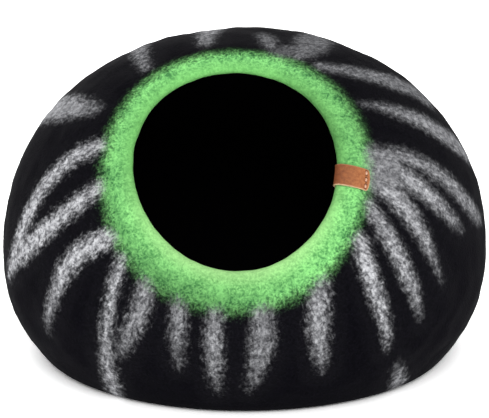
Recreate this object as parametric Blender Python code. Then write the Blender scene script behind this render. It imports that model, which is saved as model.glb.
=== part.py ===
"""Cat cave bed: a seamless pod of wet-felted wool with a round mouth, and a leather tag.

The felt is one solid: a hollow pod, wider than deep, pressed flat where it stands, whose
wall thickens and turns inwards to a round lip at the mouth. The tag is a strip of leather
folded over that lip. Lengths are metres, +Z is up and the mouth faces -Y and upwards.
"""

import math

import bmesh
import bpy
from mathutils import Vector

# Overall size of the pod
WIDTH = 0.500
DEPTH = 0.425
HEIGHT = 0.336

# Outline of the pod: the level of its widest girth, how far the lower half would round out
# below that girth if nothing pressed it flat, and how full each half is (2 is an ellipse)
GIRTH_HEIGHT = 0.103
BELOW_GIRTH = 0.188
UPPER_FULLNESS = 2.14
LOWER_FULLNESS = 2.0
FOOT_ROUNDING = 0.010

# Felt: the wall, the thicker lip and the run over which it thins, and how far the wall
# turns inwards near the mouth
WALL = 0.007
LIP = 0.010
THICKENED_RUN = 0.040
TURN_IN = 0.006
TURN_IN_RUN = 0.026

# Mouth: where its axis points, its half angles as seen from the pod's centre, and how far
# the long way of its slight oval leans over
MOUTH_RISE = math.radians(40.9)
MOUTH_TURN = math.radians(-3.3)
MOUTH_HALF_ANGLE_ACROSS = math.radians(24.8)
MOUTH_HALF_ANGLE_UPWARDS = math.radians(27.6)
MOUTH_LEAN = math.radians(11.0)

# Leather tag: its place around the mouth, and its length on each side of the lip's crest
TAG_ANGLE = math.radians(-3.5)
TAG_WIDTH = 0.0205
TAG_ARM = 0.034
TAG_THICKNESS = 0.0016
TAG_CORNER = 0.002
TAG_CLEARANCE = 0.0005

# How finely the surfaces are divided
MERIDIANS = 60
NEAR_RUN = 0.042
NEAR_RINGS = 7
SIDE_RINGS = 11
FOOT_RINGS = 3
FLOOR_RINGS = 3
LIP_RINGS = 5
TAG_COLUMNS = 9
TAG_ROWS_ARM = 6
TAG_ROWS_LIP = 10
HALVINGS = 30

FELT_COLOUR = (0.014, 0.014, 0.017, 1.0)
FELT_ROUGHNESS = 1.0
LEATHER_COLOUR = (0.45, 0.17, 0.07, 1.0)
LEATHER_ROUGHNESS = 0.5

CENTRE = Vector((0.0, 0.0, GIRTH_HEIGHT))
MOUTH_AXIS = Vector((
    math.cos(MOUTH_RISE) * math.sin(MOUTH_TURN),
    -math.cos(MOUTH_RISE) * math.cos(MOUTH_TURN),
    math.sin(MOUTH_RISE),
))
MOUTH_RIGHT = Vector((math.cos(MOUTH_TURN), math.sin(MOUTH_TURN), 0.0))
MOUTH_UP = MOUTH_AXIS.cross(MOUTH_RIGHT)
HALF_ROUND = 0.25 * math.pi * LIP


def clear_scene():
    """Remove whatever objects the file starts with."""
    for old in list(bpy.data.objects):
        bpy.data.objects.remove(old, do_unlink=True)


def press_flat(height):
    """Return a height with everything below the floor pressed up to it, and its slope."""
    if height >= FOOT_ROUNDING:
        return height, 1.0
    if height <= -FOOT_ROUNDING:
        return 0.0, 0.0
    above = height + FOOT_ROUNDING
    return above ** 2 / (4.0 * FOOT_ROUNDING), above / (2.0 * FOOT_ROUNDING)


def round_surface(direction):
    """Return the pod's surface and its normal before it is pressed flat, along a ray."""
    upper = direction.z >= 0.0
    reach = HEIGHT - GIRTH_HEIGHT if upper else BELOW_GIRTH
    fullness = UPPER_FULLNESS if upper else LOWER_FULLNESS
    across = direction.x / (WIDTH / 2)
    along = direction.y / (DEPTH / 2)
    level = math.hypot(across, along)
    upright = abs(direction.z) / reach
    radius = (level ** fullness + upright ** fullness) ** (-1.0 / fullness)
    sideways = level ** (fullness - 2.0)
    normal = Vector((
        sideways * across / (WIDTH / 2),
        sideways * along / (DEPTH / 2),
        math.copysign(upright ** (fullness - 1.0) / reach, direction.z),
    ))
    return CENTRE + direction * radius, normal


def pod_surface(direction):
    """Return the pod's outer surface and its normal, along a ray from the centre."""
    point, normal = round_surface(direction)
    point.z, slope = press_flat(point.z)
    return point, Vector((normal.x * slope, normal.y * slope, normal.z)).normalized()


def mouth_spread(angle):
    """Return the half angle of the mouth, seen from the centre, at an angle around it."""
    across = math.cos(angle - MOUTH_LEAN) / math.tan(MOUTH_HALF_ANGLE_ACROSS)
    upwards = math.sin(angle - MOUTH_LEAN) / math.tan(MOUTH_HALF_ANGLE_UPWARDS)
    return math.atan(1.0 / math.hypot(across, upwards))


def mouth_ray(angle, spread):
    """Return the ray that leaves the mouth's axis by spread, at an angle around it."""
    outwards = MOUTH_RIGHT * math.cos(angle) + MOUTH_UP * math.sin(angle)
    return MOUTH_AXIS * math.cos(spread) + outwards * math.sin(spread)


def mouth_reach(angle):
    """Return the distance from the centre to the mouth's edge."""
    point, _ = pod_surface(mouth_ray(angle, mouth_spread(angle)))
    return (point - CENTRE).length


def wall_start(angle):
    """Return the spread at which the round of the lip ends and the wall begins."""
    return mouth_spread(angle) + 0.5 * LIP / mouth_reach(angle)


def wall_frame(angle, spread):
    """Return the outer face's point, its normal, the way from the mouth, and the thickness."""
    point, normal = pod_surface(mouth_ray(angle, spread))
    away = mouth_ray(angle, spread + math.pi / 2)
    away = (away - normal * away.dot(normal)).normalized()
    run = (spread - wall_start(angle)) * mouth_reach(angle)
    turned = max(0.0, 1.0 - run / TURN_IN_RUN)
    tilt = math.atan(2.0 * TURN_IN * turned / TURN_IN_RUN)
    face = point - normal * TURN_IN * turned ** 2
    face_normal = normal * math.cos(tilt) - away * math.sin(tilt)
    face_away = away * math.cos(tilt) + normal * math.sin(tilt)
    thickened = max(0.0, 1.0 - run / THICKENED_RUN)
    thickness = WALL + (LIP - WALL) * thickened ** 2 * (3.0 - 2.0 * thickened)
    return face, face_normal, face_away, thickness


def lip_surface(angle, turn):
    """Return the lip's point and normal: turn 0 is its outer side, pi its inner side."""
    face, normal, away, thickness = wall_frame(angle, wall_start(angle))
    outwards = normal * math.cos(turn) - away * math.sin(turn)
    return face + (outwards - normal) * (thickness / 2), outwards


def felt_surface(angle, station):
    """Return the felt's point and outward normal at a station of its section.

    A station is a length from the crest of the lip, positive outside and negative inside.
    """
    run = abs(station) - HALF_ROUND
    if run <= 0.0:
        return lip_surface(angle, math.pi / 2 - 2.0 * station / LIP)
    spread = wall_start(angle) + run / mouth_reach(angle)
    face, normal, _, thickness = wall_frame(angle, spread)
    if station > 0.0:
        return face, normal
    return face - normal * thickness, -normal


def spread_at(angle, height):
    """Return the spread at which a meridian comes down to a height, by halving."""
    above = wall_start(angle)
    below = math.pi
    for _ in range(HALVINGS):
        middle = (above + below) / 2
        point, _ = round_surface(mouth_ray(angle, middle))
        if point.z > height:
            above = middle
        else:
            below = middle
    return (above + below) / 2


def ring_spreads(angle):
    """Return the spreads of a face's rings: near the mouth, the side, the foot, the floor."""
    start = wall_start(angle)
    near_end = start + NEAR_RUN / mouth_reach(angle)
    foot_top = spread_at(angle, FOOT_ROUNDING)
    foot_end = spread_at(angle, -FOOT_ROUNDING)
    spreads = []
    for first, last, rings in (
        (start, near_end, NEAR_RINGS),
        (near_end, foot_top, SIDE_RINGS),
        (foot_top, foot_end, FOOT_RINGS),
        (foot_end, math.pi, FLOOR_RINGS),
    ):
        spreads += [first + (last - first) * step / rings for step in range(rings)]
    return spreads


def shell_meridian(angle):
    """Return one meridian of the felt: outer face, round of the lip, then inner face."""
    outer = []
    inner = []
    for spread in ring_spreads(angle):
        face, normal, _, thickness = wall_frame(angle, spread)
        outer.append(face)
        inner.append(face - normal * thickness)
    lip = []
    for step in range(1, LIP_RINGS + 1):
        point, _ = lip_surface(angle, math.pi * step / (LIP_RINGS + 1))
        lip.append(point)
    return outer[::-1] + lip + inner


def add_object(name, body, colour, roughness):
    """Turn a bmesh into a named object with a material of its own."""
    mesh = bpy.data.meshes.new(name)
    body.to_mesh(mesh)
    body.free()
    mesh.shade_smooth()
    material = bpy.data.materials.new(name + "_finish")
    material.use_nodes = True
    shader = material.node_tree.nodes["Principled BSDF"]
    shader.inputs["Base Color"].default_value = colour
    shader.inputs["Roughness"].default_value = roughness
    shader.inputs["Metallic"].default_value = 0.0
    mesh.materials.append(material)
    made = bpy.data.objects.new(name, mesh)
    bpy.context.scene.collection.objects.link(made)
    return made


def add_felt_shell():
    """Build the felt from meridians that run from its outer far pole to its inner one."""
    body = bmesh.new()
    meridians = []
    for step in range(MERIDIANS):
        points = shell_meridian(2.0 * math.pi * step / MERIDIANS)
        meridians.append([body.verts.new(point) for point in points])
    far_face, far_normal, _, far_thickness = wall_frame(0.0, math.pi)
    outer_pole = body.verts.new(far_face)
    inner_pole = body.verts.new(far_face - far_normal * far_thickness)
    for here, following in zip(meridians, meridians[1:] + meridians[:1]):
        body.faces.new((outer_pole, following[0], here[0]))
        for ring in range(len(here) - 1):
            body.faces.new((here[ring], following[ring], following[ring + 1], here[ring + 1]))
        body.faces.new((inner_pole, here[-1], following[-1]))
    bmesh.ops.recalc_face_normals(body, faces=body.faces)
    return add_object("felt_shell", body, FELT_COLOUR, FELT_ROUGHNESS)


def tag_stations(shortening):
    """Return the stations of the tag's rows, from the end of its inner arm outwards."""
    arm = TAG_ARM - HALF_ROUND - shortening
    outer_arm = [HALF_ROUND + arm * step / TAG_ROWS_ARM for step in range(1, TAG_ROWS_ARM + 1)]
    lip = [HALF_ROUND * (2.0 * step / TAG_ROWS_LIP - 1.0) for step in range(TAG_ROWS_LIP + 1)]
    return [-station for station in reversed(outer_arm)] + lip + outer_arm


def tag_column(sideways):
    """Return one column of the tag's underside, a small clearance off the felt."""
    past_corner = max(0.0, abs(sideways) - (TAG_WIDTH / 2 - TAG_CORNER))
    shortening = TAG_CORNER - math.sqrt(TAG_CORNER ** 2 - past_corner ** 2)
    column = []
    for station in tag_stations(shortening):
        middle, _ = felt_surface(TAG_ANGLE, station)
        off_axis = (middle - CENTRE).cross(MOUTH_AXIS).length
        point, normal = felt_surface(TAG_ANGLE + sideways / off_axis, station)
        column.append(point + normal * TAG_CLEARANCE)
    return column


def add_leather_tag():
    """Build the tag: a strip that follows the felt over the lip, thickened outwards."""
    sheet = bmesh.new()
    columns = []
    for step in range(TAG_COLUMNS):
        sideways = TAG_WIDTH * (step / (TAG_COLUMNS - 1) - 0.5)
        columns.append([sheet.verts.new(point) for point in tag_column(sideways)])
    for left, right in zip(columns, columns[1:]):
        for row in range(len(left) - 1):
            sheet.faces.new((left[row], left[row + 1], right[row + 1], right[row]))
    tag = add_object("leather_tag", sheet, LEATHER_COLOUR, LEATHER_ROUGHNESS)
    thickening = tag.modifiers.new("thickening", "SOLIDIFY")
    thickening.thickness = TAG_THICKNESS
    thickening.offset = 1.0
    thickening.use_even_offset = True
    return tag


clear_scene()
add_felt_shell()
add_leather_tag()
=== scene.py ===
import math

import bmesh
import bpy
import numpy as np
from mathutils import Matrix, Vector


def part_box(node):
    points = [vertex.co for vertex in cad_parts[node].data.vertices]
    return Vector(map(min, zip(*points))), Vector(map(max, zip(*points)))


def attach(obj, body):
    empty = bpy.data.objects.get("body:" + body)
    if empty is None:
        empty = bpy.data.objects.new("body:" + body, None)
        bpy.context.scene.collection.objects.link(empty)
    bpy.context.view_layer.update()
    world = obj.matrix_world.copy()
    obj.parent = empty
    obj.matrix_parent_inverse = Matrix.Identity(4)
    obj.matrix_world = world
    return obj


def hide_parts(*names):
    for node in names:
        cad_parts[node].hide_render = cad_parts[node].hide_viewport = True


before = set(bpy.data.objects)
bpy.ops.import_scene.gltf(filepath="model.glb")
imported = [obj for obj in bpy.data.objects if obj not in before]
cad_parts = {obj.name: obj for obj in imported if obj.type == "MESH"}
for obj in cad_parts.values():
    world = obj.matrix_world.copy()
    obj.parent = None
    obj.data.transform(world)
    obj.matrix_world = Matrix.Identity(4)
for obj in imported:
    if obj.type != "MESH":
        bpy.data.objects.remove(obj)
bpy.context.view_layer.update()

# A cat cave bed: a seamless pod of wet-felted black wool with pale streaks that spread from
# its round mouth, a green band felted round that mouth, and a leather tag sewn over the lip.
# Lengths are metres and +Z is up. The felt and the tag are rebuilt here on the surfaces that
# the CAD model has, finely enough to carry their lumps, and the rest is in their materials.

POD_LOW, POD_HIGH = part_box("felt_shell")

# The pod's outline, as in the CAD model: its size is read from the CAD model's felt shell
WIDTH = POD_HIGH.x - POD_LOW.x
DEPTH = POD_HIGH.y - POD_LOW.y
HEIGHT = POD_HIGH.z - POD_LOW.z
GIRTH_HEIGHT = 0.103
BELOW_GIRTH = 0.188
UPPER_FULLNESS = 2.14
LOWER_FULLNESS = 2.0
FOOT_ROUNDING = 0.010

# The felt's wall, its thicker lip, and how it turns inwards near the mouth
WALL = 0.007
LIP = 0.010
THICKENED_RUN = 0.040
TURN_IN = 0.006
TURN_IN_RUN = 0.026
HALF_ROUND = 0.25 * math.pi * LIP

# The mouth: where its axis points and its half angles as seen from the pod's centre
MOUTH_RISE = math.radians(40.9)
MOUTH_TURN = math.radians(-3.3)
MOUTH_HALF_ANGLE_ACROSS = math.radians(24.8)
MOUTH_HALF_ANGLE_UPWARDS = math.radians(27.6)
MOUTH_LEAN = math.radians(11.0)
CENTRE = np.array((0.0, 0.0, GIRTH_HEIGHT))
MOUTH_AXIS = np.array((
    math.cos(MOUTH_RISE) * math.sin(MOUTH_TURN),
    -math.cos(MOUTH_RISE) * math.cos(MOUTH_TURN),
    math.sin(MOUTH_RISE),
))
MOUTH_RIGHT = np.array((math.cos(MOUTH_TURN), math.sin(MOUTH_TURN), 0.0))
MOUTH_UP = np.cross(MOUTH_AXIS, MOUTH_RIGHT)

# How finely the felt is divided
MERIDIANS = 360
NEAR_RUN = 0.042
NEAR_RINGS = 24
SIDE_RINGS = 96
FOOT_RINGS = 12
FLOOR_RINGS = 14
LIP_RINGS = 13
INNER_NEAR_RINGS = 14
INNER_SIDE_RINGS = 38
INNER_FOOT_RINGS = 6
INNER_FLOOR_RINGS = 8
HALVINGS = 30

# The felt's unevenness: sets of plane waves, each set with its own seed (metres)
# Columns: wavelength, height, share of that height on the lip, number of waves, seed
LUMPS = (
    (0.095, 0.00045, 0.0, 28, 3),
    (0.032, 0.00030, 0.4, 36, 5),
    (0.014, 0.00012, 1.0, 40, 7),
)
# A wave's length is drawn between these shares of its set's wavelength
WAVELENGTH_SPREAD = (0.7, 1.4)
# Lumps grow over these lengths away from the lip, and over these heights above the flat foot
LUMPS_GROW_OVER = (0.010, 0.080)
LUMPS_RISE_OVER = (0.003, 0.030)

# Where the hand-made pod stands out a little fuller than an even form (metres)
# Columns: middle's x, y and z, radius, height
BULGES = (
    (-0.248, 0.000, 0.085, 0.120, 0.0024),
    (0.240, 0.000, 0.180, 0.100, 0.0026),
)

# The green band: how far it reaches from the lip's crest (metres), at every 30 degrees
# anticlockwise from the mouth's right, as seen from the front. It is widest below the mouth.
# Inside, it reaches past the crest by the same length all round.
BAND_REACHES = (
    0.0366, 0.0354, 0.0318, 0.0290, 0.0300, 0.0315,
    0.0358, 0.0445, 0.0484, 0.0450, 0.0430, 0.0390,
)
BAND_INSIDE = 0.014

# How light the green is, and how that changes round the mouth: partly the wool's own tone and
# partly painted light and shade, lit at the lower right and shaded at the left and inside the lip
# at the right. A change is strongest at one angle (radians) and fades away on both sides of it.
# The first four are added to the tone, and the last two take a share of it away.
# Columns: strongest at, cosines off that angle where it begins and where it is full, amount
BAND_TONE = 1.13
# Darker on the band's outer part at the left: black wool mixed in, and painted shade
DEEPER_AND_SHADED_LEFT = (math.radians(226.0), 0.3, 1.0, -0.38)
# Lighter at the lower right: painted light
LIT_LOW_RIGHT = (math.radians(335.0), 0.5, 1.0, 0.09)
DULLER_BELOW = (math.radians(267.0), 0.6, 1.0, -0.19)
LIGHTER_ABOVE = (math.radians(90.0), 0.3, 1.0, 0.20)
# Painted shade on the inner part at the right, where the lip turns into the mouth
SHADED_INSIDE = (math.radians(8.0), 0.3, 0.95, -0.34)
# Dimmer at the upper right: partly the wool's tone and partly painted shade
DIMMER_RIGHT = (math.radians(30.0), 0.7, 1.0, -0.18)
# The stations between which the band's outer part begins, and between which its inner part ends
BAND_OUTER_PART = (0.014, 0.036)
BAND_INNER_PART = (-0.002, 0.014)

# Pale streaks. A streak runs out from the lip's crest between two distances (metres). Its
# four angles (degrees) are a third of its length apart and run anticlockwise round the
# mouth from its right, as seen from the front. Its widths (metres) and how white its wool is
# are at its start, its middle and its end.
# Columns: start, end, four angles, three widths, three whitenesses
STREAKS = (
    # down the left side
    (0.057, 0.180, 154.0, 153.5, 152.5, 151.0, 0.014, 0.037, 0.034, 0.34, 0.60, 0.58),
    (0.034, 0.205, 170.6, 177.8, 188.3, 194.0, 0.017, 0.022, 0.018, 0.80, 0.90, 0.85),
    (0.034, 0.200, 188.5, 192.9, 193.7, 193.0, 0.016, 0.021, 0.020, 0.90, 0.95, 0.80),
    (0.036, 0.180, 211.3, 206.9, 209.7, 213.5, 0.017, 0.020, 0.009, 0.95, 0.90, 0.25),
    (0.044, 0.210, 219.5, 227.6, 233.5, 237.0, 0.013, 0.017, 0.022, 0.90, 0.60, 0.70),
    # down the front
    (0.042, 0.135, 233.6, 236.3, 236.3, 234.6, 0.019, 0.020, 0.009, 0.50, 0.45, 0.30),
    (0.038, 0.110, 247.8, 250.4, 252.3, 254.0, 0.015, 0.017, 0.009, 0.50, 0.42, 0.20),
    (0.038, 0.134, 263.7, 263.9, 264.6, 265.6, 0.016, 0.017, 0.007, 0.50, 0.55, 0.20),
    (0.036, 0.130, 282.5, 280.9, 278.0, 274.4, 0.021, 0.023, 0.006, 0.38, 0.42, 0.25),
    (0.038, 0.126, 308.5, 301.7, 298.5, 296.7, 0.020, 0.021, 0.008, 0.45, 0.60, 0.25),
    (0.172, 0.218, 316.8, 316.6, 316.3, 316.0, 0.010, 0.018, 0.024, 0.20, 0.45, 0.40),
    # down the right side
    (0.042, 0.146, 331.5, 324.0, 320.1, 316.0, 0.018, 0.016, 0.008, 0.80, 1.00, 0.35),
    (0.036, 0.148, 346.5, 338.4, 333.0, 328.5, 0.015, 0.018, 0.008, 0.50, 0.80, 0.45),
    (0.044, 0.155, 356.5, 350.4, 344.1, 339.3, 0.025, 0.018, 0.004, 0.50, 0.70, 0.15),
    (0.046, 0.160, 364.0, 360.7, 357.1, 355.2, 0.024, 0.021, 0.010, 0.60, 0.65, 0.25),
    (0.046, 0.200, 369.0, 368.0, 364.1, 362.3, 0.016, 0.021, 0.020, 0.45, 0.50, 0.35),
    (0.036, 0.062, 362.0, 362.0, 362.0, 362.0, 0.050, 0.050, 0.030, 0.40, 0.42, 0.40),
    # over the right shoulder and the top
    (0.044, 0.210, 31.5, 25.1, 21.0, 19.5, 0.006, 0.028, 0.034, 0.40, 0.50, 0.35),
    (0.042, 0.165, 55.5, 43.2, 37.9, 33.5, 0.018, 0.029, 0.040, 0.38, 0.38, 0.30),
    (0.040, 0.130, 66.0, 66.0, 67.0, 68.0, 0.020, 0.040, 0.030, 0.35, 0.28, 0.30),
    (0.034, 0.052, 73.0, 72.0, 71.0, 70.0, 0.030, 0.030, 0.024, 0.20, 0.20, 0.20),
    (0.036, 0.090, 77.0, 80.0, 82.0, 84.0, 0.016, 0.022, 0.016, 0.30, 0.30, 0.15),
    (0.046, 0.175, 104.0, 102.0, 100.0, 99.0, 0.016, 0.030, 0.026, 0.40, 0.50, 0.40),
    (0.044, 0.155, 129.5, 126.0, 123.0, 121.0, 0.012, 0.022, 0.022, 0.45, 0.50, 0.40),
)
STREAK_POINTS = 60
# The shares of a streak's length between which its end is rounded off
STREAK_END_ROUNDING = (0.80, 1.05)

# The felt's material reads its depths and lengths in millimetres, held within a limit
MM = 1000.0
DEPTH_LIMIT = 0.05


def row_dot(first, second):
    """Return the dot product of each row of two arrays of vectors."""
    return np.sum(first * second, axis=-1)


def press_flat(height):
    """Return heights with what is below the floor pressed up to it, and their slope."""
    above = np.clip(height + FOOT_ROUNDING, 0.0, None)
    pressed = np.where(height >= FOOT_ROUNDING, height, above ** 2 / (4.0 * FOOT_ROUNDING))
    slope = np.clip(above / (2.0 * FOOT_ROUNDING), 0.0, 1.0)
    return pressed, slope


def round_surface(direction):
    """Return the pod's surface and its normal before it is pressed flat, along rays."""
    upper = direction[..., 2] >= 0.0
    reach = np.where(upper, HEIGHT - GIRTH_HEIGHT, BELOW_GIRTH)
    fullness = np.where(upper, UPPER_FULLNESS, LOWER_FULLNESS)
    across = direction[..., 0] / (WIDTH / 2)
    along = direction[..., 1] / (DEPTH / 2)
    level = np.hypot(across, along)
    upright = np.abs(direction[..., 2]) / reach
    radius = (level ** fullness + upright ** fullness) ** (-1.0 / fullness)
    sideways = level ** (fullness - 2.0)
    normal = np.stack((
        sideways * across / (WIDTH / 2),
        sideways * along / (DEPTH / 2),
        np.copysign(upright ** (fullness - 1.0) / reach, direction[..., 2]),
    ), axis=-1)
    return CENTRE + direction * radius[..., None], normal


def unit(vectors):
    """Return vectors scaled to length 1."""
    return vectors / np.linalg.norm(vectors, axis=-1, keepdims=True)


def pod_surface(direction):
    """Return the pod's outer surface and its normal, along rays from the centre."""
    point, normal = round_surface(direction)
    height, slope = press_flat(point[..., 2])
    point = np.stack((point[..., 0], point[..., 1], height), axis=-1)
    normal = np.stack((normal[..., 0] * slope, normal[..., 1] * slope, normal[..., 2]), axis=-1)
    return point, unit(normal)


def mouth_spread(angle):
    """Return the half angle of the mouth, seen from the centre, at angles around it."""
    across = np.cos(angle - MOUTH_LEAN) / math.tan(MOUTH_HALF_ANGLE_ACROSS)
    upwards = np.sin(angle - MOUTH_LEAN) / math.tan(MOUTH_HALF_ANGLE_UPWARDS)
    return np.arctan(1.0 / np.hypot(across, upwards))


def mouth_ray(angle, spread):
    """Return the rays that leave the mouth's axis by spread, at angles around it."""
    angle, spread = np.broadcast_arrays(angle, spread)
    outwards = MOUTH_RIGHT * np.cos(angle)[..., None] + MOUTH_UP * np.sin(angle)[..., None]
    return MOUTH_AXIS * np.cos(spread)[..., None] + outwards * np.sin(spread)[..., None]


def mouth_reach(angle):
    """Return the distance from the centre to the mouth's edge."""
    point, _ = pod_surface(mouth_ray(angle, mouth_spread(angle)))
    return np.linalg.norm(point - CENTRE, axis=-1)


def wall_start(angle):
    """Return the spread at which the round of the lip ends and the wall begins."""
    return mouth_spread(angle) + 0.5 * LIP / mouth_reach(angle)


def wall_frame(angle, spread):
    """Return the outer face's point, its normal, the way from the mouth, and the thickness."""
    point, normal = pod_surface(mouth_ray(angle, spread))
    away = mouth_ray(angle, spread + math.pi / 2)
    away = unit(away - normal * row_dot(away, normal)[..., None])
    run = (spread - wall_start(angle)) * mouth_reach(angle)
    turned = np.clip(1.0 - run / TURN_IN_RUN, 0.0, None)[..., None]
    tilt = np.arctan(2.0 * TURN_IN * turned / TURN_IN_RUN)
    face = point - normal * TURN_IN * turned ** 2
    face_normal = normal * np.cos(tilt) - away * np.sin(tilt)
    face_away = away * np.cos(tilt) + normal * np.sin(tilt)
    thickened = np.clip(1.0 - run / THICKENED_RUN, 0.0, None)
    thickness = WALL + (LIP - WALL) * thickened ** 2 * (3.0 - 2.0 * thickened)
    return face, face_normal, face_away, thickness[..., None]


def lip_surface(angle, turn):
    """Return the lip's point and normal: turn 0 is its outer side, pi its inner side."""
    face, normal, away, thickness = wall_frame(angle, wall_start(angle))
    outwards = normal * np.cos(turn)[..., None] - away * np.sin(turn)[..., None]
    return face + (outwards - normal) * (thickness / 2), outwards


def felt_surface(angle, station):
    """Return the felt's points and outward normals at stations of its section.

    A station is a length from the crest of the lip, positive outside and negative inside.
    """
    angle, station = np.broadcast_arrays(angle, station)
    run = np.abs(station) - HALF_ROUND
    spread = wall_start(angle) + np.clip(run, 0.0, None) / mouth_reach(angle)
    face, normal, _, thickness = wall_frame(angle, spread)
    inside = (station < 0.0)[..., None]
    face = np.where(inside, face - normal * thickness, face)
    normal = np.where(inside, -normal, normal)
    lip_point, lip_normal = lip_surface(angle, math.pi / 2 - 2.0 * station / LIP)
    on_lip = (run <= 0.0)[..., None]
    return np.where(on_lip, lip_point, face), np.where(on_lip, lip_normal, normal)


def spread_at(angle, height):
    """Return the spreads at which meridians come down to a height, by halving."""
    above = wall_start(angle)
    below = np.full_like(above, math.pi)
    for _ in range(HALVINGS):
        middle = (above + below) / 2
        point, _ = round_surface(mouth_ray(angle, middle))
        higher = point[..., 2] > height
        above = np.where(higher, middle, above)
        below = np.where(higher, below, middle)
    return (above + below) / 2


def ring_spreads(angle, near, side, foot, floor):
    """Return the spreads of a face's rings: near the mouth, the side, the foot, the floor."""
    start = wall_start(angle)
    near_end = start + NEAR_RUN / mouth_reach(angle)
    foot_top = spread_at(angle, FOOT_ROUNDING)
    foot_end = spread_at(angle, -FOOT_ROUNDING)
    end = np.full_like(start, math.pi)
    spreads = []
    for first, last, rings in (
        (start, near_end, near),
        (near_end, foot_top, side),
        (foot_top, foot_end, foot),
        (foot_end, end, floor),
    ):
        spreads += [first + (last - first) * step / rings for step in range(rings)]
    return np.stack(spreads, axis=-1)


def plane_waves(points, wavelength, count, seed):
    """Return a smooth random height at each point, with a spread of 1, made of waves."""
    random = np.random.default_rng(seed)
    ways = unit(random.normal(size=(count, 3)))
    lengths = wavelength * random.uniform(*WAVELENGTH_SPREAD, count)
    phases = random.uniform(0.0, 2.0 * math.pi, count)
    total = np.zeros(points.shape[:-1])
    for way, length, phase in zip(ways, lengths, phases):
        total += np.sin(points @ way * (2.0 * math.pi / length) + phase)
    return total * math.sqrt(2.0 / count)


def smooth_step(low, high, values):
    """Return 0 below low and 1 above high, with a smooth rise between them."""
    share = np.clip((values - low) / (high - low), 0.0, 1.0)
    return share ** 2 * (3.0 - 2.0 * share)


def band_edge(angle):
    """Return how far out from the lip's crest the green band reaches."""
    total = np.zeros_like(angle)
    count = len(BAND_REACHES)
    for number, reach in enumerate(BAND_REACHES):
        away = angle - 2.0 * math.pi * number / count
        waves = sum(np.cos(order * away) for order in range(1, count // 2))
        total += reach * (1.0 + 2.0 * waves + np.cos(count // 2 * away)) / count
    return total


def tone_change(angle, change):
    """Return one change of the band's tone at angles round the mouth."""
    strongest, begins, full, amount = change
    return amount * smooth_step(begins, full, np.cos(angle - strongest))


def band_tone_and_shade(angle, station):
    """Return how light the green is, with painted light and shade, at angles and stations."""
    outer = smooth_step(*BAND_OUTER_PART, station)
    inner = 1.0 - smooth_step(*BAND_INNER_PART, station)
    tone = BAND_TONE + outer * tone_change(angle, DEEPER_AND_SHADED_LEFT)
    for change in (LIT_LOW_RIGHT, DULLER_BELOW, LIGHTER_ABOVE):
        tone = tone + tone_change(angle, change)
    shade = 1.0 + inner * tone_change(angle, SHADED_INSIDE) + tone_change(angle, DIMMER_RIGHT)
    return tone * shade


def fuller_by(points):
    """Return how far the pod's two broad bulges push the felt out."""
    total = np.zeros(points.shape[:-1])
    for *middle, radius, height in BULGES:
        away = np.linalg.norm(points - np.array(middle), axis=-1)
        total += height * (1.0 - smooth_step(0.0, radius, away))
    return total


def lumpy_surface(angle, station):
    """Return the felt's points and normals with its unevenness, which leaves the foot flat.

    The bulges move both faces outwards alike, so that the wall keeps its thickness.
    """
    points, normals = felt_surface(angle, station)
    from_lip = smooth_step(*LUMPS_GROW_OVER, np.abs(station))
    raised = np.zeros(points.shape[:-1])
    for wavelength, height, on_lip, count, seed in LUMPS:
        share = on_lip + (1.0 - on_lip) * from_lip
        raised += height * share * plane_waves(points, wavelength, count, seed)
    raised += np.where(station < 0.0, -1.0, 1.0) * fuller_by(points)
    raised *= smooth_step(*LUMPS_RISE_OVER, points[..., 2])
    return points + normals * raised[..., None], normals


def through(values, share):
    """Return the smooth curve through evenly spaced values, read at shares of its length."""
    knots = np.linspace(0.0, 1.0, len(values))
    total = np.zeros_like(share)
    for number, value in enumerate(values):
        weight = np.ones_like(share)
        for other, knot in enumerate(knots):
            if other != number:
                weight = weight * (share - knot) / (knots[number] - knot)
        total += weight * value
    return total


def streak_course(row):
    """Return points along a streak's middle, half its width there, and its whiteness."""
    start, end = row[:2]
    share = np.linspace(0.0, 1.0, STREAK_POINTS)
    course = np.radians(through(row[2:6], share))
    points, _ = felt_surface(course, start + (end - start) * share)
    ending = smooth_step(*STREAK_END_ROUNDING, share)
    rounded_end = np.sqrt(np.clip(1.0 - ending ** 2, 0.0, 1.0))
    return points, through(row[6:9], share) / 2 * rounded_end, through(row[9:12], share)


def streak_field(points):
    """Return each point's depth inside the nearest streak's edge, and its whiteness."""
    depth = np.full(len(points), -1.0)
    whiteness = np.zeros(len(points))
    for row in STREAKS:
        for place, half, white in zip(*streak_course(row)):
            near = half - np.linalg.norm(points - place, axis=-1)
            nearer = near > depth
            depth = np.where(nearer, near, depth)
            whiteness = np.where(nearer, white, whiteness)
    return depth, whiteness


def shell_grid():
    """Return the felt's angles, stations and points on a grid of meridians and rings."""
    turns = np.arange(MERIDIANS) / MERIDIANS
    angle = (2.0 * math.pi * turns)[:, None]
    outer = ring_spreads(angle[:, 0], NEAR_RINGS, SIDE_RINGS, FOOT_RINGS, FLOOR_RINGS)
    inner = ring_spreads(
        angle[:, 0], INNER_NEAR_RINGS, INNER_SIDE_RINGS, INNER_FOOT_RINGS, INNER_FLOOR_RINGS)
    start = wall_start(angle)
    reach = mouth_reach(angle)
    turn = math.pi * np.arange(1, LIP_RINGS + 1) / (LIP_RINGS + 1)
    stations = np.concatenate((
        (HALF_ROUND + (outer - start) * reach)[:, ::-1],
        np.broadcast_to((math.pi / 2 - turn) * LIP / 2, (MERIDIANS, LIP_RINGS)),
        -(HALF_ROUND + (inner - start) * reach),
    ), axis=1)
    angles = np.broadcast_to(angle, stations.shape)
    points, _ = lumpy_surface(angles, stations)
    return angles, stations, points


def add_attribute(mesh, name, values):
    """Store one number for each vertex, for a material to read."""
    layer = mesh.attributes.new(name, "FLOAT", "POINT")
    layer.data.foreach_set("value", np.asarray(values, np.float32).ravel())


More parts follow.
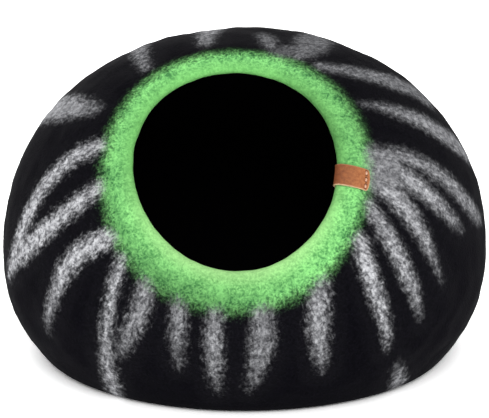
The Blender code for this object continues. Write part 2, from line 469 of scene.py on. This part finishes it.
def add_mesh(name, points, faces, material):
    """Make a smooth-shaded object from points and faces."""
    mesh = bpy.data.meshes.new(name)
    mesh.from_pydata(points.reshape(-1, 3).tolist(), [], faces)
    mesh.validate()
    mesh.shade_smooth()
    mesh.materials.append(material)
    made = bpy.data.objects.new(name, mesh)
    bpy.context.scene.collection.objects.link(made)
    return made


def add_shell(material):
    """Build the felt pod: one closed wall, its outer face, round lip and inner face."""
    angles, stations, points = shell_grid()
    outer_pole, outer_normal, _, thickness = wall_frame(np.zeros(1), np.full(1, math.pi))
    inner_pole = outer_pole - outer_normal * thickness
    rings = stations.shape[1]
    count = MERIDIANS * rings
    everything = np.concatenate((points.reshape(-1, 3), outer_pole, inner_pole))
    here = np.arange(MERIDIANS)[:, None] * rings
    following = (np.arange(MERIDIANS)[:, None] + 1) % MERIDIANS * rings
    ring = np.arange(rings - 1)[None, :]
    quads = np.stack((here + ring, following + ring, following + ring + 1, here + ring + 1), -1)
    faces = quads.reshape(-1, 4).tolist()
    for first, second in zip(here[:, 0].tolist(), following[:, 0].tolist()):
        faces.append((count, second, first))
        faces.append((count + 1, first + rings - 1, second + rings - 1))
    shell = add_mesh("felt_pod", everything, faces, material)
    station = np.concatenate((stations.ravel(), (1.0, -1.0)))
    angle = np.concatenate((angles.ravel(), (0.0, 0.0)))
    depth = np.full(len(station), -1.0)
    whiteness = np.zeros(len(station))
    outside = station > 0.0
    depth[outside], whiteness[outside] = streak_field(everything[outside])
    band = np.minimum(band_edge(angle) - station, station + BAND_INSIDE)
    add_attribute(shell.data, "streak_depth", MM * np.clip(depth, -DEPTH_LIMIT, DEPTH_LIMIT))
    add_attribute(shell.data, "whiteness", whiteness)
    add_attribute(shell.data, "band_depth", MM * np.clip(band, -DEPTH_LIMIT, DEPTH_LIMIT))
    add_attribute(shell.data, "from_lip", MM * station)
    # The band's tone, with its painted light and shade round the mouth
    add_attribute(shell.data, "band_tone_and_shade", band_tone_and_shade(angle, station))
    return shell


class Nodes:
    """A material's node tree, with one short call for each kind of node."""

    def __init__(self, name):
        """Make a material that has a principled shader."""
        self.material = bpy.data.materials.new(name)
        self.material.use_nodes = True
        self.tree = self.material.node_tree
        self.shader = self.tree.nodes["Principled BSDF"]

    def put(self, socket, value):
        """Link a socket to another node's output, or set it to a plain value."""
        if isinstance(value, bpy.types.NodeSocket):
            self.tree.links.new(value, socket)
        else:
            socket.default_value = value

    def shade(self, **inputs):
        """Set the shader's inputs, which are named with _ for each space."""
        for name, value in inputs.items():
            self.put(self.shader.inputs[name.replace("_", " ")], value)

    def node(self, kind, inputs=(), **settings):
        """Add a node, set its properties and its inputs, and return it."""
        made = self.tree.nodes.new(kind)
        for key, value in settings.items():
            setattr(made, key, value)
        for key, value in dict(inputs).items():
            self.put(made.inputs[key], value)
        return made

    def math(self, operation, first, second=0.0, third=0.0):
        """Return the result of one operation on up to three values."""
        inputs = {0: first, 1: second, 2: third}
        return self.node("ShaderNodeMath", inputs, operation=operation).outputs[0]

    def plus(self, first, second):
        """Return the sum of two values."""
        return self.math("ADD", first, second)

    def times(self, first, second):
        """Return the product of two values."""
        return self.math("MULTIPLY", first, second)

    def attribute(self, name):
        """Return the number that the mesh stores under a name."""
        return self.node("ShaderNodeAttribute", attribute_name=name).outputs["Fac"]

    def place(self):
        """Return the place on the object, in metres."""
        return self.node("ShaderNodeTexCoord").outputs["Object"]

    def vector(self, operation, inputs, output=0):
        """Return the result of one operation on vectors."""
        return self.node("ShaderNodeVectorMath", inputs, operation=operation).outputs[output]

    def shift(self, vector, way):
        """Return a vector moved by another."""
        return self.vector("ADD", {0: vector, 1: way})

    def dot(self, vector, way):
        """Return the length of a vector along a fixed direction."""
        return self.vector("DOT_PRODUCT", {0: vector, 1: tuple(way)}, "Value")

    def part(self, vector, which):
        """Return a vector's part along one axis: 0, 1 or 2."""
        return self.node("ShaderNodeSeparateXYZ", {0: vector}).outputs[which]

    def grey(self, value):
        """Return the grey colour of a value."""
        inputs = {0: value, 1: value, 2: value}
        return self.node("ShaderNodeCombineColor", inputs).outputs[0]

    def noise(self, vector, size, detail=2.0, roughness=0.5, output="Fac"):
        """Return noise whose features are about as large as size."""
        inputs = {"Vector": vector, "Scale": 1.0 / size, "Detail": detail, "Roughness": roughness}
        return self.node("ShaderNodeTexNoise", inputs).outputs[output]

    def swirl(self, vector, size, by):
        """Return a place moved by up to about by, in swirls as large as size."""
        colour = self.noise(vector, size, 1.0, 0.5, "Color")
        centred = self.vector("SUBTRACT", {0: colour, 1: (0.5, 0.5, 0.5)})
        return self.shift(vector, self.vector("SCALE", {0: centred, "Scale": 2.0 * by}))

    def line(self, value, low, high, first=0.0, last=1.0, kind="LINEAR"):
        """Map a value straight from low..high onto first..last, held at the ends."""
        inputs = {
            "Value": value, "From Min": low, "From Max": high, "To Min": first, "To Max": last}
        return self.node("ShaderNodeMapRange", inputs, interpolation_type=kind).outputs[0]

    def rise(self, value, low, high, first=0.0, last=1.0):
        """Map a value smoothly from low..high onto first..last, held at the ends."""
        return self.line(value, low, high, first, last, "SMOOTHSTEP")

    def blend(self, share, first, second, kind="MIX"):
        """Return a colour between two, or their product for the kind MULTIPLY."""
        made = self.node("ShaderNodeMix", data_type="RGBA", blend_type=kind)
        self.put(made.inputs[0], share)
        self.put(made.inputs[6], first)
        self.put(made.inputs[7], second)
        return made.outputs[2]

    def bump(self, height, distance, strength):
        """Return normals that are tilted by a height of up to distance."""
        inputs = {"Height": height, "Distance": distance, "Strength": strength}
        return self.node("ShaderNodeBump", inputs).outputs[0]


# The felt's colours, linear RGBA. A pair runs from the darkest of its wool to the lightest.
BLACK_WOOL = ((0.0013, 0.0012, 0.0022, 1), (0.0034, 0.0030, 0.0051, 1))
PALE_WOOL = ((0.30, 0.302, 0.320, 1), (0.52, 0.525, 0.545, 1))
# Painted shade: inside the cabin the felt is darkened towards this black
CABIN_SHADE_BLACK = (0.002, 0.002, 0.0025, 1)
# Greens: the first of each pair for most of the band, the second, lighter, where it is low by the
# lip: painted light on the lower lip, which faces up
DARK_GREENS = ((0.045, 0.18, 0.055, 1), (0.100, 0.33, 0.090, 1))
BRIGHT_GREENS = ((0.210, 0.56, 0.172, 1), (0.345, 0.74, 0.254, 1))
# The crest: painted shade on its upper part, painted light on its lower part
SHADED_AND_LIT_CREST_GREENS = ((0.12, 0.34, 0.09, 1), (0.38, 0.67, 0.265, 1))
# A painted highlight on the lower lip's inner edge, which faces up
LIP_HIGHLIGHT_GREEN = (0.52, 0.60, 0.42, 1)

# The wool's noises: size of their features (metres), detail, roughness
GRAIN_NOISE = (0.0023, 2.0, 0.6)
STRAND_NOISE = (0.0033, 1.5, 0.6)
RAGGED_NOISE = (0.006, 2.0, 0.55)
PATCH_NOISE = (0.012, 2.0, 0.5)
MOTTLED_NOISE = (0.016, 2.0, 0.55)
# Curly fibres: the size of their curls and where in the noise they are read (metres), and the
# detail and roughness of that noise
CURLS = ((0.0046, (0.31, 0.07, 0.53)), (0.0058, (0.83, 0.41, 0.19)))
CURL_DETAIL = (0.5, 0.4)
# Swirls: their size and how far they move a place (metres)
FIBRE_SWIRL = (0.006, 0.0018)
STRAND_SWIRL = (0.008, 0.0015)
RAGGED_SWIRL = (0.010, 0.004)
# How far noise moves the edges of colours, from one side to the other (millimetres)
RAGGED_EDGE = 14.0
MOTTLED_EDGE = 26.0
STREAK_RAGGED_SHARE = 0.6
# The combed strands are drawn out from the mouth: a mean radius of the felt round the mouth's
# axis (metres), and how much shorter lengths away from the mouth are read
COMBED_RADIUS = 0.16
COMBED_SHORTENING = 0.55
# Parts of the felted fibres' height, and of the green's mottled tone
CURL_PART = 0.25
GRAIN_PART = 0.75
GREEN_FIBRE_PART = 0.75
GREEN_MOTTLED_PART = 0.80
GREEN_RAGGED_PART = 0.35
# Bumps: their height (metres) and strength
FELT_BUMP = (0.0006, 0.8)

# Ramps: the two values that each runs between and, where that isn't 0 and 1, what it gives
CURL_RAMP = (0.0, 0.10, 1.0, 0.0)
GRAIN_RAMP = (0.25, 0.75)
STRAND_RAMP = (0.28, 0.72)
# Edges are calmer towards the upper right (x + z, metres)
CALM_RAMP = (0.10, 0.40, 0.8, 0.5)
# How far single fibres reach past the edge of a streak and of the band (millimetres)
STREAK_LOOSE_RAMP = (0.0, 1.0, -6.0, 6.0)
BAND_LOOSE_RAMP = (0.0, 1.0, -5.0, 5.0)
# How the wool of a colour thins out across its edge: a ramp (millimetres), and a power
STREAK_FADE = (-7.5, 11.0, 1.8)
BAND_FADE = (-9.0, 15.0, 2.0)
# How thickly a streak's wool covers the black, by its fibres and by its patches
THICK_RAMP = (0.15, 0.85, 0.52, 1.28)
PATCH_RAMP = (0.3, 0.7, 0.80, 1.20)
# A trace of pale wool lies in the black near a streak (millimetres from its edge)
STRAY_RAMP = (-24.0, -8.0, 0.0, 0.004)
BLACK_RAMP = (0.3, 0.9)
PALE_RAMP = (0.20, 0.80)
GREEN_RAMP = (0.64, 1.24)
# Painted light: the band is lighter low down (z, metres) near the lip, and on its crest there
# is painted shade above and painted light below (stations, millimetres)
LIT_LOW_RAMP = (0.25, 0.13)
NEAR_LIP_RAMP = (30.0, 2.0)
CREST_RAMP = (20.0, 1.0, 0.0, 0.7)
# A painted highlight on the rim's fibres low down, and painted shade that darkens the felt
# inside the cabin, where the green fades out
LIP_HIGHLIGHT_RAMP = (1.5, -3.0)
LIP_HIGHLIGHT_FIBRE_RAMP = (0.2, 0.8, 0.3, 0.8)
CABIN_SHADE_RAMP = (-4.0, -30.0, 0.0, 0.7)


def combed_place(nodes, place):
    """Return a place in which lengths away from the mouth are shortened.

    Noise read there has features that are drawn out from the mouth, as the wool was laid.
    """
    from_centre = nodes.shift(place, tuple(-CENTRE))
    across = nodes.dot(from_centre, MOUTH_RIGHT)
    upwards = nodes.dot(from_centre, MOUTH_UP)
    squares = nodes.plus(nodes.times(across, across), nodes.times(upwards, upwards))
    radius = nodes.math("SQRT", squares)
    inputs = {
        0: nodes.times(nodes.math("DIVIDE", across, radius), COMBED_RADIUS),
        1: nodes.times(nodes.math("DIVIDE", upwards, radius), COMBED_RADIUS),
        2: nodes.times(nodes.attribute("from_lip"), COMBED_SHORTENING / MM),
    }
    return nodes.node("ShaderNodeCombineXYZ", inputs).outputs[0]


def thread_lines(nodes, place, size, offset):
    """Return curly lines, 1 along each line and 0 between them, as loose fibres lie."""
    value = nodes.noise(nodes.shift(place, offset), size, *CURL_DETAIL)
    away = nodes.math("ABSOLUTE", nodes.math("SUBTRACT", value, 0.5))
    return nodes.line(away, *CURL_RAMP)


def fibre_field(nodes, place):
    """Return the height of the felted fibres, about 0 in the pits and 1 on top."""
    curled = nodes.swirl(place, *FIBRE_SWIRL)
    lines = nodes.math("MAXIMUM", *[thread_lines(nodes, curled, *curl) for curl in CURLS])
    grain = nodes.line(nodes.noise(curled, *GRAIN_NOISE), *GRAIN_RAMP)
    return nodes.plus(nodes.times(lines, CURL_PART), nodes.times(grain, GRAIN_PART))


def wool_field(nodes, place, fibres):
    """Return the mean height of the fibres and of the strands combed from the mouth."""
    combed = nodes.swirl(combed_place(nodes, place), *STRAND_SWIRL)
    strands = nodes.line(nodes.noise(combed, *STRAND_NOISE), *STRAND_RAMP)
    return nodes.times(nodes.plus(fibres, strands), 0.5)


def spread_mm(nodes, noise, width):
    """Return noise as a length with its middle at 0, width from one side to the other."""
    return nodes.times(nodes.math("SUBTRACT", noise, 0.5), width)


def laid_share(nodes, depth_name, ragged_mm, ragged_share, loose_mm, fade):
    """Return the share of the wool that is a colour's, by the depth inside its edge."""
    *ramp, power = fade
    depth = nodes.math("MULTIPLY_ADD", ragged_mm, ragged_share, nodes.attribute(depth_name))
    return nodes.math("POWER", nodes.rise(nodes.plus(depth, loose_mm), *ramp), power)


def pale_share(nodes, place, wool, ragged_mm, calm):
    """Return how pale the streaks' wool makes the felt."""
    loose_mm = nodes.times(nodes.line(wool, *STREAK_LOOSE_RAMP), calm)
    laid = laid_share(
        nodes, "streak_depth", ragged_mm, STREAK_RAGGED_SHARE, loose_mm, STREAK_FADE)
    patchy = nodes.line(nodes.noise(place, *PATCH_NOISE), *PATCH_RAMP)
    thick = nodes.times(nodes.line(wool, *THICK_RAMP), patchy)
    pale = nodes.times(nodes.times(laid, thick), nodes.attribute("whiteness"))
    return nodes.plus(pale, nodes.rise(nodes.attribute("streak_depth"), *STRAY_RAMP))


def green_wool(nodes, place, fibres, ragged):
    """Return the band's colour: mottled, and painted lighter low down near the lip."""
    from_lip = nodes.attribute("from_lip")
    mottled = nodes.noise(place, *MOTTLED_NOISE)
    grassy = nodes.plus(
        nodes.times(fibres, GREEN_FIBRE_PART), nodes.times(mottled, GREEN_MOTTLED_PART))
    grassy = nodes.math("MULTIPLY_ADD", ragged, GREEN_RAGGED_PART, grassy)
    grassy = nodes.line(grassy, *GREEN_RAMP)
    # Painted light: the lower lip faces up into the light, so the green is lighter low down
    low = nodes.rise(nodes.part(place, 2), *LIT_LOW_RAMP)
    out_mm = nodes.plus(from_lip, spread_mm(nodes, mottled, MOTTLED_EDGE))
    lit_low_inner = nodes.times(nodes.rise(out_mm, *NEAR_LIP_RAMP), low)
    dark = nodes.blend(lit_low_inner, *DARK_GREENS)
    bright = nodes.blend(lit_low_inner, *BRIGHT_GREENS)
    colour = nodes.blend(grassy, dark, bright)
    crest = nodes.blend(low, *SHADED_AND_LIT_CREST_GREENS)
    colour = nodes.blend(nodes.rise(from_lip, *CREST_RAMP), colour, crest)
    # Multiply in the band's tone with its painted light and shade round the mouth
    colour = nodes.blend(1.0, colour, nodes.grey(nodes.attribute("band_tone_and_shade")), "MULTIPLY")
    # Painted highlight along the lower rim's fibres
    lip_highlight = nodes.times(nodes.rise(from_lip, *LIP_HIGHLIGHT_RAMP), low)
    lip_highlight = nodes.times(lip_highlight, nodes.line(fibres, *LIP_HIGHLIGHT_FIBRE_RAMP))
    return nodes.blend(lip_highlight, colour, LIP_HIGHLIGHT_GREEN)


def felt_material():
    """Black, pale and green wool felted together, each fibre showing one of the colours."""
    nodes = Nodes("felted_wool")
    place = nodes.place()
    fibres = fibre_field(nodes, place)
    wool = wool_field(nodes, place, fibres)
    ragged = nodes.noise(nodes.swirl(place, *RAGGED_SWIRL), *RAGGED_NOISE)
    calm = nodes.rise(nodes.plus(nodes.part(place, 0), nodes.part(place, 2)), *CALM_RAMP)
    ragged_mm = nodes.times(spread_mm(nodes, ragged, RAGGED_EDGE), calm)
    pale = pale_share(nodes, place, wool, ragged_mm, calm)
    loose_mm = nodes.times(nodes.line(fibres, *BAND_LOOSE_RAMP), calm)
    green = laid_share(nodes, "band_depth", ragged_mm, 1.0, loose_mm, BAND_FADE)
    black = nodes.blend(nodes.line(fibres, *BLACK_RAMP), *BLACK_WOOL)
    white = nodes.blend(nodes.line(wool, *PALE_RAMP), *PALE_WOOL)
    colour = nodes.blend(pale, black, white)
    colour = nodes.blend(green, colour, green_wool(nodes, place, fibres, ragged))
    # Painted shade: the felt is darkened deeper inside the cabin
    cabin_shade = nodes.rise(nodes.attribute("from_lip"), *CABIN_SHADE_RAMP)
    nodes.shade(
        Base_Color=nodes.blend(cabin_shade, colour, CABIN_SHADE_BLACK),
        Roughness=1.0, Specular_IOR_Level=0.03, Sheen_Weight=0.005, Sheen_Roughness=0.5,
        Normal=nodes.bump(fibres, *FELT_BUMP))
    return nodes.material


# The leather's colours, linear RGBA: deep by the fold, partly its own tone and partly painted
# shade where it turns into the mouth, light at the ends of the arms
DEEP_AND_SHADED_LEATHER = ((0.085, 0.020, 0.006, 1), (0.190, 0.052, 0.016, 1))
LIGHT_LEATHER = ((0.240, 0.072, 0.020, 1), (0.400, 0.150, 0.054, 1))
WORN_LEATHER = (0.46, 0.22, 0.11, 1)
CUT_LEATHER = (0.50, 0.36, 0.21, 1)
# Painted shade at the needle holes, which the mesh only dents
HOLE_SHADE_LEATHER = (0.090, 0.028, 0.008, 1)
CREASE_SWIRL = (0.006, 0.002)
CREASE_NOISE = (0.0030, 2.0, 0.6)
PORE_NOISE = (0.0009, 2.0, 0.6)
LEATHER_BUMP = (0.0004, 0.7)
# How much the pores add to the leather's tone, and the parts of its grain's height
PORE_TONE_PART = 0.5
CREASE_PART = 0.6
PORE_PART = 0.4
# Ramps over the leather's tone, and over millimetres from its fold, edges and needle holes
LEATHER_RAMP = (0.50, 1.00)
FOLD_SHADE_RAMP = (1.0, 24.0, 0.15, 1.0)
WOBBLE_RAMP = (0.3, 0.7, -0.25, 0.25)
WORN_RAMP = (1.8, 0.9, 0.0, 0.35)
CUT_RAMP = (0.9, 0.5, 0.0, 0.85)
HOLE_SHADE_RAMP = (1.6, 0.7, 0.0, 0.85)
LEATHER_ROUGHNESS_RAMP = (0.3, 0.7, 0.52, 0.70)

# The thread: its colours, and the noise of its twisted strands
THREAD = ((0.38, 0.18, 0.10, 1), (0.66, 0.40, 0.27, 1))
THREAD_NOISE = (0.0006, 1.0, 0.5)
THREAD_RAMP = (0.35, 0.65)
THREAD_ROUGHNESS_RAMP = (0.3, 0.7, 0.55, 0.75)
THREAD_BUMP = (0.0002, 0.6)


def leather_material():
    """Tan leather, deeper towards the fold, with pale cut edges and dark needle holes.

    By the fold it is partly deeper leather and partly painted shade, and the dark needle holes
    are painted shade.
    """
    nodes = Nodes("tan_leather")
    place = nodes.place()
    creases = nodes.noise(nodes.swirl(place, *CREASE_SWIRL), *CREASE_NOISE)
    pores = nodes.noise(place, *PORE_NOISE)
    tone = nodes.math("MULTIPLY_ADD", pores, PORE_TONE_PART, creases)
    tone = nodes.line(tone, *LEATHER_RAMP)
    deep_and_shaded = nodes.blend(tone, *DEEP_AND_SHADED_LEATHER)
    light = nodes.blend(tone, *LIGHT_LEATHER)
    # Deeper by the fold: the leather's own tone, and painted shade where it turns into the mouth
    colour = nodes.blend(nodes.rise(nodes.attribute("from_fold"), *FOLD_SHADE_RAMP), deep_and_shaded, light)
    near_edge = nodes.plus(nodes.attribute("from_edge"), nodes.line(creases, *WOBBLE_RAMP))
    colour = nodes.blend(nodes.rise(near_edge, *WORN_RAMP), colour, WORN_LEATHER)
    colour = nodes.blend(nodes.rise(near_edge, *CUT_RAMP), colour, CUT_LEATHER)
    # Painted shade at the needle holes
    hole_shade = nodes.rise(nodes.attribute("from_hole"), *HOLE_SHADE_RAMP)
    grain = nodes.math("MULTIPLY_ADD", creases, CREASE_PART, nodes.times(pores, PORE_PART))
    nodes.shade(
        Base_Color=nodes.blend(hole_shade, colour, HOLE_SHADE_LEATHER),
        Roughness=nodes.line(creases, *LEATHER_ROUGHNESS_RAMP), Specular_IOR_Level=0.25,
        Normal=nodes.bump(grain, *LEATHER_BUMP))
    return nodes.material


def thread_material():
    """Pale waxed thread, lighter along its twisted strands."""
    nodes = Nodes("waxed_thread")
    strands = nodes.noise(nodes.place(), *THREAD_NOISE)
    nodes.shade(
        Base_Color=nodes.blend(nodes.line(strands, *THREAD_RAMP), *THREAD),
        Roughness=nodes.line(strands, *THREAD_ROUGHNESS_RAMP),
        Normal=nodes.bump(strands, *THREAD_BUMP))
    return nodes.material


# The tag: its place round the mouth and its size. It is the CAD model's strip, with arms that
# are 0.8 mm shorter, lean a little to one side and are rounded at their ends.
TAG_ANGLE = math.radians(-3.5)
TAG_WIDTH = 0.0205
TAG_ARM = 0.0332
TAG_ARM_ROUNDING = 0.0016
TAG_BEND = math.radians(-0.8)
TAG_THICKNESS = 0.0016
TAG_CORNER = 0.002
TAG_CLEARANCE = 0.0005
TAG_COLUMNS = 91
TAG_ROWS = 201
# How far its rows crowd towards its ends, from 0 for evenly spaced rows to 1
TAG_CROWDING = 0.7
TAG_EDGE_ROUNDING = 0.0006
# Its right-hand edge shows less of the pale cut than its left one
TAG_RIGHT_EDGE_HIDDEN = 0.0005

# The seam: a row of stitches across each arm, with a needle hole at both ends of a stitch
SEAM_STATION = 0.0293
STITCHES = 3
STITCH_PITCH = 0.0064
STITCH_LENGTH = 0.0036
STITCH_WIDTH = 0.0021
STITCH_HEIGHT = 0.0011
STITCH_RINGS = 21
STITCH_SIDES = 16
DENT_DEPTH = 0.0005
DENT_RADIUS = 0.0016
# Shares of a stitch's height: how far its ends are sunk, and how far its middle arches up
STITCH_SUNK = 0.45
STITCH_ARCH = 0.55
# How blunt the arch is, and how blunt its ends are: 1 follows a sine, less is blunter
ARCH_BLUNTNESS = 0.6
END_BLUNTNESS = 0.5
# Its fullness at its ends, and its twist: its depth, number of strands and turns
STITCH_END_FULLNESS = 0.30
TWIST_DEPTH = 0.10
TWIST_STRANDS = 3.0
TWIST_TURNS = 3.0


def tag_surface(across, station):
    """Return the tag's mid face and its normal, on the lumps of the felt below it."""
    across, station = np.broadcast_arrays(across, station)
    middle, _ = felt_surface(np.full_like(station, TAG_ANGLE), station)
    off_axis = np.linalg.norm(np.cross(middle - CENTRE, MOUTH_AXIS), axis=-1)
    bend = TAG_BEND * (station / TAG_ARM) ** 2
    point, normal = lumpy_surface(TAG_ANGLE + bend + across / off_axis, station)
    return point + normal * (TAG_CLEARANCE + TAG_THICKNESS / 2), normal


def stitch_middles():
    """Return where the stitches' middles are, across the tag."""
    return (np.arange(STITCHES) - (STITCHES - 1) / 2) * STITCH_PITCH


def from_holes(across, station):
    """Return the distance to the nearest needle hole."""
    nearest = np.full(across.shape, 1.0)
    for middle in stitch_middles():
        for end in (-0.5, 0.5):
            aside = across - (middle + end * STITCH_LENGTH)
            nearest = np.minimum(nearest, np.hypot(aside, np.abs(station) - SEAM_STATION))
    return nearest


def add_tag(material):
    """Build the leather tag: a strip folded over the lip, with worn, rounded edges."""
    across = TAG_WIDTH / 2 * np.sin(np.linspace(-math.pi / 2, math.pi / 2, TAG_COLUMNS))
    along = np.sin(np.linspace(-math.pi / 2, math.pi / 2, TAG_ROWS))
    along = TAG_CROWDING * along + (1.0 - TAG_CROWDING) * np.linspace(-1.0, 1.0, TAG_ROWS)
    past_corner = np.clip(np.abs(across) - (TAG_WIDTH / 2 - TAG_CORNER), 0.0, TAG_CORNER)
    arm = TAG_ARM - TAG_CORNER + np.sqrt(TAG_CORNER ** 2 - past_corner ** 2)
    arm = arm - TAG_ARM_ROUNDING * (2.0 * across / TAG_WIDTH) ** 2
    station = arm[:, None] * along[None, :]
    across = np.broadcast_to(across[:, None], station.shape)
    middle, normal = tag_surface(across, station)
    edge = np.minimum(TAG_WIDTH / 2 - np.abs(across), arm[:, None] - np.abs(station))
    fullness = np.sqrt(np.clip(1.0 - (1.0 - edge / TAG_EDGE_ROUNDING) ** 2, 0.0, 1.0))
    fullness = np.where(edge >= TAG_EDGE_ROUNDING, 1.0, fullness)
    worn = np.where(across > 0.0, edge + TAG_RIGHT_EDGE_HIDDEN, edge)
    hole = from_holes(across, station)
    dent = DENT_DEPTH * smooth_step(DENT_RADIUS, 0.0, hole)
    upper = fullness * TAG_THICKNESS / 2 - dent
    top = middle + normal * upper[..., None]
    bottom = middle - normal * fullness[..., None] * TAG_THICKNESS / 2
    index = np.arange(station.size).reshape(station.shape)
    rim = np.zeros_like(index, bool)
    rim[0, :] = rim[-1, :] = rim[:, 0] = rim[:, -1] = True
    below = np.where(rim, index, index + station.size)
    faces = []
    for grid, flip in ((index, False), (below, True)):
        quads = np.stack((grid[:-1, :-1], grid[1:, :-1], grid[1:, 1:], grid[:-1, 1:]), axis=-1)
        faces += (quads[..., ::-1] if flip else quads).reshape(-1, 4).tolist()
    points = np.concatenate((top.reshape(-1, 3), bottom.reshape(-1, 3)))
    tag = add_mesh("folded_tag", points, faces, material)
    for name, values in (
        ("from_fold", np.abs(station)), ("from_edge", worn), ("from_hole", hole),
    ):
        add_attribute(tag.data, name, MM * np.tile(values.ravel(), 2))
    remove_loose(tag)
    return tag


def stitch_points(middle, side):
    """Return the points of one stitch in rings, from one needle hole to the other."""
    share = np.linspace(0.0, 1.0, STITCH_RINGS)
    turn = np.linspace(0.0, 2.0 * math.pi, STITCH_SIDES, endpoint=False)
    across = middle + (share - 0.5) * STITCH_LENGTH
    course, normal = tag_surface(across, np.full_like(share, side * SEAM_STATION))
    arch = np.sin(math.pi * share)
    lift = TAG_THICKNESS / 2
    lift = lift + STITCH_HEIGHT * (STITCH_ARCH * arch ** ARCH_BLUNTNESS - STITCH_SUNK)
    course = course + normal * lift[:, None]
    sideways = np.cross(unit(np.gradient(course, axis=0)), normal)
    fullness = STITCH_END_FULLNESS + (1.0 - STITCH_END_FULLNESS) * arch ** END_BLUNTNESS
    twisted = TWIST_STRANDS * turn[None, :] + 2.0 * math.pi * TWIST_TURNS * share[:, None]
    reach = fullness[:, None] * (1.0 + TWIST_DEPTH * np.cos(twisted)) / 2
    ring = (
        STITCH_WIDTH * sideways[:, None, :] * np.cos(turn)[None, :, None]
        + STITCH_HEIGHT * normal[:, None, :] * np.sin(turn)[None, :, None]
    )
    return (course[:, None, :] + ring * reach[..., None]).reshape(-1, 3)


def stitch_faces(start):
    """Return the faces of the stitch whose points begin at a number."""
    faces = []
    for step in range(STITCH_RINGS - 1):
        ring = start + step * STITCH_SIDES
        for number in range(STITCH_SIDES):
            here = ring + number
            following = ring + (number + 1) % STITCH_SIDES
            faces.append((here, following, following + STITCH_SIDES, here + STITCH_SIDES))
    last = start + (STITCH_RINGS - 1) * STITCH_SIDES
    faces.append(tuple(range(start + STITCH_SIDES - 1, start - 1, -1)))
    faces.append(tuple(range(last, last + STITCH_SIDES)))
    return faces


def add_stitches(material):
    """Build the thread: a short twisted stitch between each pair of needle holes."""
    points, faces = [], []
    for side in (1.0, -1.0):
        for middle in stitch_middles():
            faces += stitch_faces(len(points) * STITCH_RINGS * STITCH_SIDES)
            points.append(stitch_points(middle, side))
    stitches = add_mesh("tag_stitches", np.concatenate(points), faces, material)
    face_outwards(stitches)
    return stitches


def face_outwards(made):
    """Turn every face of a closed mesh outwards."""
    body = bmesh.new()
    body.from_mesh(made.data)
    bmesh.ops.recalc_face_normals(body, faces=body.faces)
    body.to_mesh(made.data)
    body.free()


def remove_loose(made):
    """Delete the vertices that no face uses."""
    mesh = made.data
    used = np.zeros(len(mesh.vertices), bool)
    corners = np.zeros(len(mesh.loops), np.int32)
    mesh.loops.foreach_get("vertex_index", corners)
    used[corners] = True
    body = bmesh.new()
    body.from_mesh(mesh)
    body.verts.ensure_lookup_table()
    bmesh.ops.delete(body, geom=[body.verts[i] for i in np.flatnonzero(~used)], context="VERTS")
    body.to_mesh(mesh)
    body.free()
    face_outwards(made)


# The studio: a pale floor, the surrounding light, and two soft suns
FLOOR_REACH = 15.0
FLOOR_STEPS = 8
FLOOR_COLOURS = ((1.68, 1.68, 1.68, 1), (1.72, 1.72, 1.72, 1))
FLOOR_MOTTLE = 0.3
SURROUND_STRENGTH = 0.75
# Columns: name, a place that it shines from, strength, angle across (degrees)
SUNS = (
    ("soft_sun", (0.15, -1.00, 1.00), 1.5, 45.0),
    ("fill_behind", (-0.40, 1.00, 0.30), 1.8, 60.0),
)

# The camera, at the photograph's viewing angle: metres, and millimetres for the lens
CAMERA_PLACE = (0.0, -1.42658, 0.56953)
CAMERA_TARGET = (0.0, 0.0, 0.1498)
CAMERA_LENS = 105.3
CAMERA_SENSOR = 36.0
CAMERA_FAR = 100.0


def add_floor():
    """Add a wide pale floor."""
    nodes = Nodes("pale_floor")
    tone = nodes.noise(nodes.place(), FLOOR_MOTTLE)
    nodes.shade(Base_Color=nodes.blend(tone, *FLOOR_COLOURS), Roughness=0.9)
    lines = np.linspace(-FLOOR_REACH, FLOOR_REACH, FLOOR_STEPS + 1)
    points = np.stack(np.meshgrid(lines, lines, (0.0,), indexing="ij"), axis=-1).reshape(-1, 3)
    index = np.arange(len(points)).reshape(FLOOR_STEPS + 1, FLOOR_STEPS + 1)
    quads = np.stack((index[:-1, :-1], index[1:, :-1], index[1:, 1:], index[:-1, 1:]), axis=-1)
    floor = add_mesh("floor", points, quads.reshape(-1, 4).tolist(), nodes.material)


def look_from(place, target):
    """Return the rotation of a lamp or camera at a place that faces a target."""
    return (Vector(target) - Vector(place)).to_track_quat("-Z", "Y").to_euler()


def add_lights():
    """Add the white studio: light from all round, a soft key before it and a fill behind it."""
    world = bpy.data.worlds.new("studio")
    world.use_nodes = True
    surround = world.node_tree.nodes["Background"]
    surround.inputs["Color"].default_value = (1.0, 1.0, 1.0, 1.0)
    surround.inputs["Strength"].default_value = SURROUND_STRENGTH
    bpy.context.scene.world = world
    for name, place, strength, angle in SUNS:
        lamp = bpy.data.lights.new(name, "SUN")
        lamp.energy = strength
        lamp.angle = math.radians(angle)
        made = bpy.data.objects.new(name, lamp)
        made.rotation_euler = look_from(place, (0.0, 0.0, 0.0))
        bpy.context.scene.collection.objects.link(made)


def add_camera():
    """Add the camera, in front of the pod and a little above it."""
    lens = bpy.data.cameras.new("camera")
    lens.lens = CAMERA_LENS
    lens.sensor_width = CAMERA_SENSOR
    lens.clip_end = CAMERA_FAR
    made = bpy.data.objects.new("camera", lens)
    made.location = CAMERA_PLACE
    made.rotation_euler = look_from(CAMERA_PLACE, CAMERA_TARGET)
    bpy.context.scene.collection.objects.link(made)
    bpy.context.scene.camera = made


bpy.context.scene.view_settings.view_transform = "Standard"
add_camera()
add_lights()
add_floor()
felt = add_shell(felt_material())
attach(felt, "root")
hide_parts("felt_shell")
tag = add_tag(leather_material())
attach(tag, "root")
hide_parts("leather_tag")
stitches = add_stitches(thread_material())
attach(stitches, "root")
